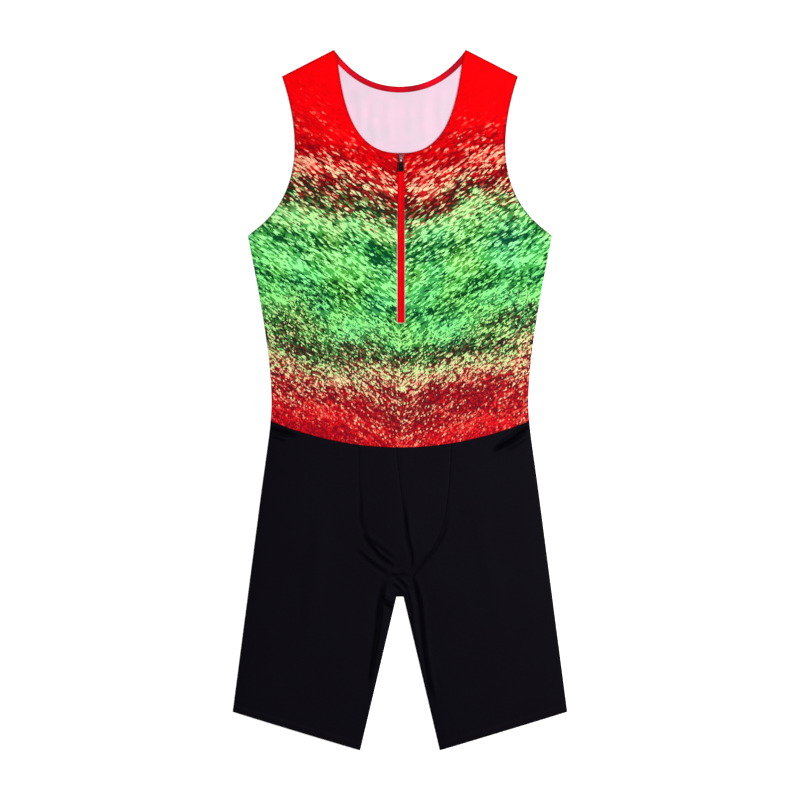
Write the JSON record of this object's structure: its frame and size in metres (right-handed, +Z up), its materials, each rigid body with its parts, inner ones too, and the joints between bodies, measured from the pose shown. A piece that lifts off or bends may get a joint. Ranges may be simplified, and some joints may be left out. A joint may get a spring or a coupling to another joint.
{
  "type": "running compression suit",
  "caption": "Sleeveless one-piece running suit laid flat, with a printed top, a half zip with a hinged pull tab and plain knee-length shorts.",
  "frame": {"origin": "on the surface the suit lies on, under the middle of its bounding box", "axes": "+Z up off the surface, +Y from the legs to the neck, +X towards the wearer's left; the front of the suit faces up"},
  "size_m": [0.4416, 0.9244, 0.0096],
  "materials": {
    "printed_knit": "smooth polyester-elastane knit with a flecked red and green print, pale inside",
    "black_knit": "plain black compression knit with a slight sheen",
    "neck_tape": "red knitted neck tape, stitched along both edges",
    "zip_tape": "woven red zip tape",
    "slider_metal": "die-cast zip slider, grey",
    "pull_moulding": "moulded black pull tab"
  },
  "bodies": {
    "garment": {"front_top": "printed_knit", "back_top": "printed_knit", "back_neck_band": "neck_tape", "zip_tape_left": "zip_tape", "zip_tape_right": "zip_tape", "zip_slider": "slider_metal", "front_leg_left": "black_knit", "front_leg_right": "black_knit", "front_pouch_left": "black_knit", "front_pouch_right": "black_knit", "crotch_gusset": "black_knit", "back_leg_left": "black_knit", "back_leg_right": "black_knit"},
    "pull_tab": {"zip_pull_tab": "pull_moulding"}
  },
  "joints": [
    {"name": "pull_tab_hinge", "type": "hinge", "parent": "garment", "child": "pull_tab", "pos_m": [0.0013, 0.3185, 0.00769], "axis": [-1, 0, 0], "range_deg": [0, 170]}
  ]
}
